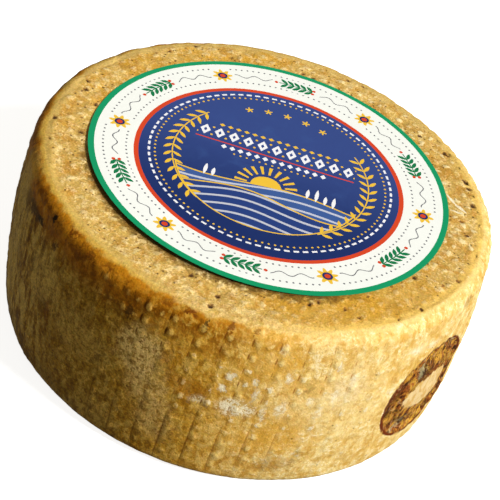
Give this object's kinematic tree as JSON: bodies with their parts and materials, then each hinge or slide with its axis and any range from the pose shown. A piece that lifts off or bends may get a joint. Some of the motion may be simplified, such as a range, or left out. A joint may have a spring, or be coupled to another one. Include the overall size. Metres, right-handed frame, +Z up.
{
  "type": "whole round of hard sheep's milk cheese",
  "caption": "Whole uncut round of hard sheep's milk cheese: short drum with swelling, basket-printed side, soft edges, a scorched round mark and a round paper label on top.",
  "frame": {"origin": "middle of the underside, on the surface it stands on", "axes": "+Z up along the round's axis; the scorched mark on the side faces 30 degrees from +X towards -Y"},
  "size_m": [0.1967, 0.1967, 0.0824],
  "materials": {
    "rind": "satin, oiled natural rind, golden ochre with cream mottling and brown scorch marks",
    "paper": "smooth coated paper, printed in fields of white, green, red and blue"
  },
  "bodies": {
    "root": {"wheel": "rind", "label": "paper"}
  },
  "joints": []
}
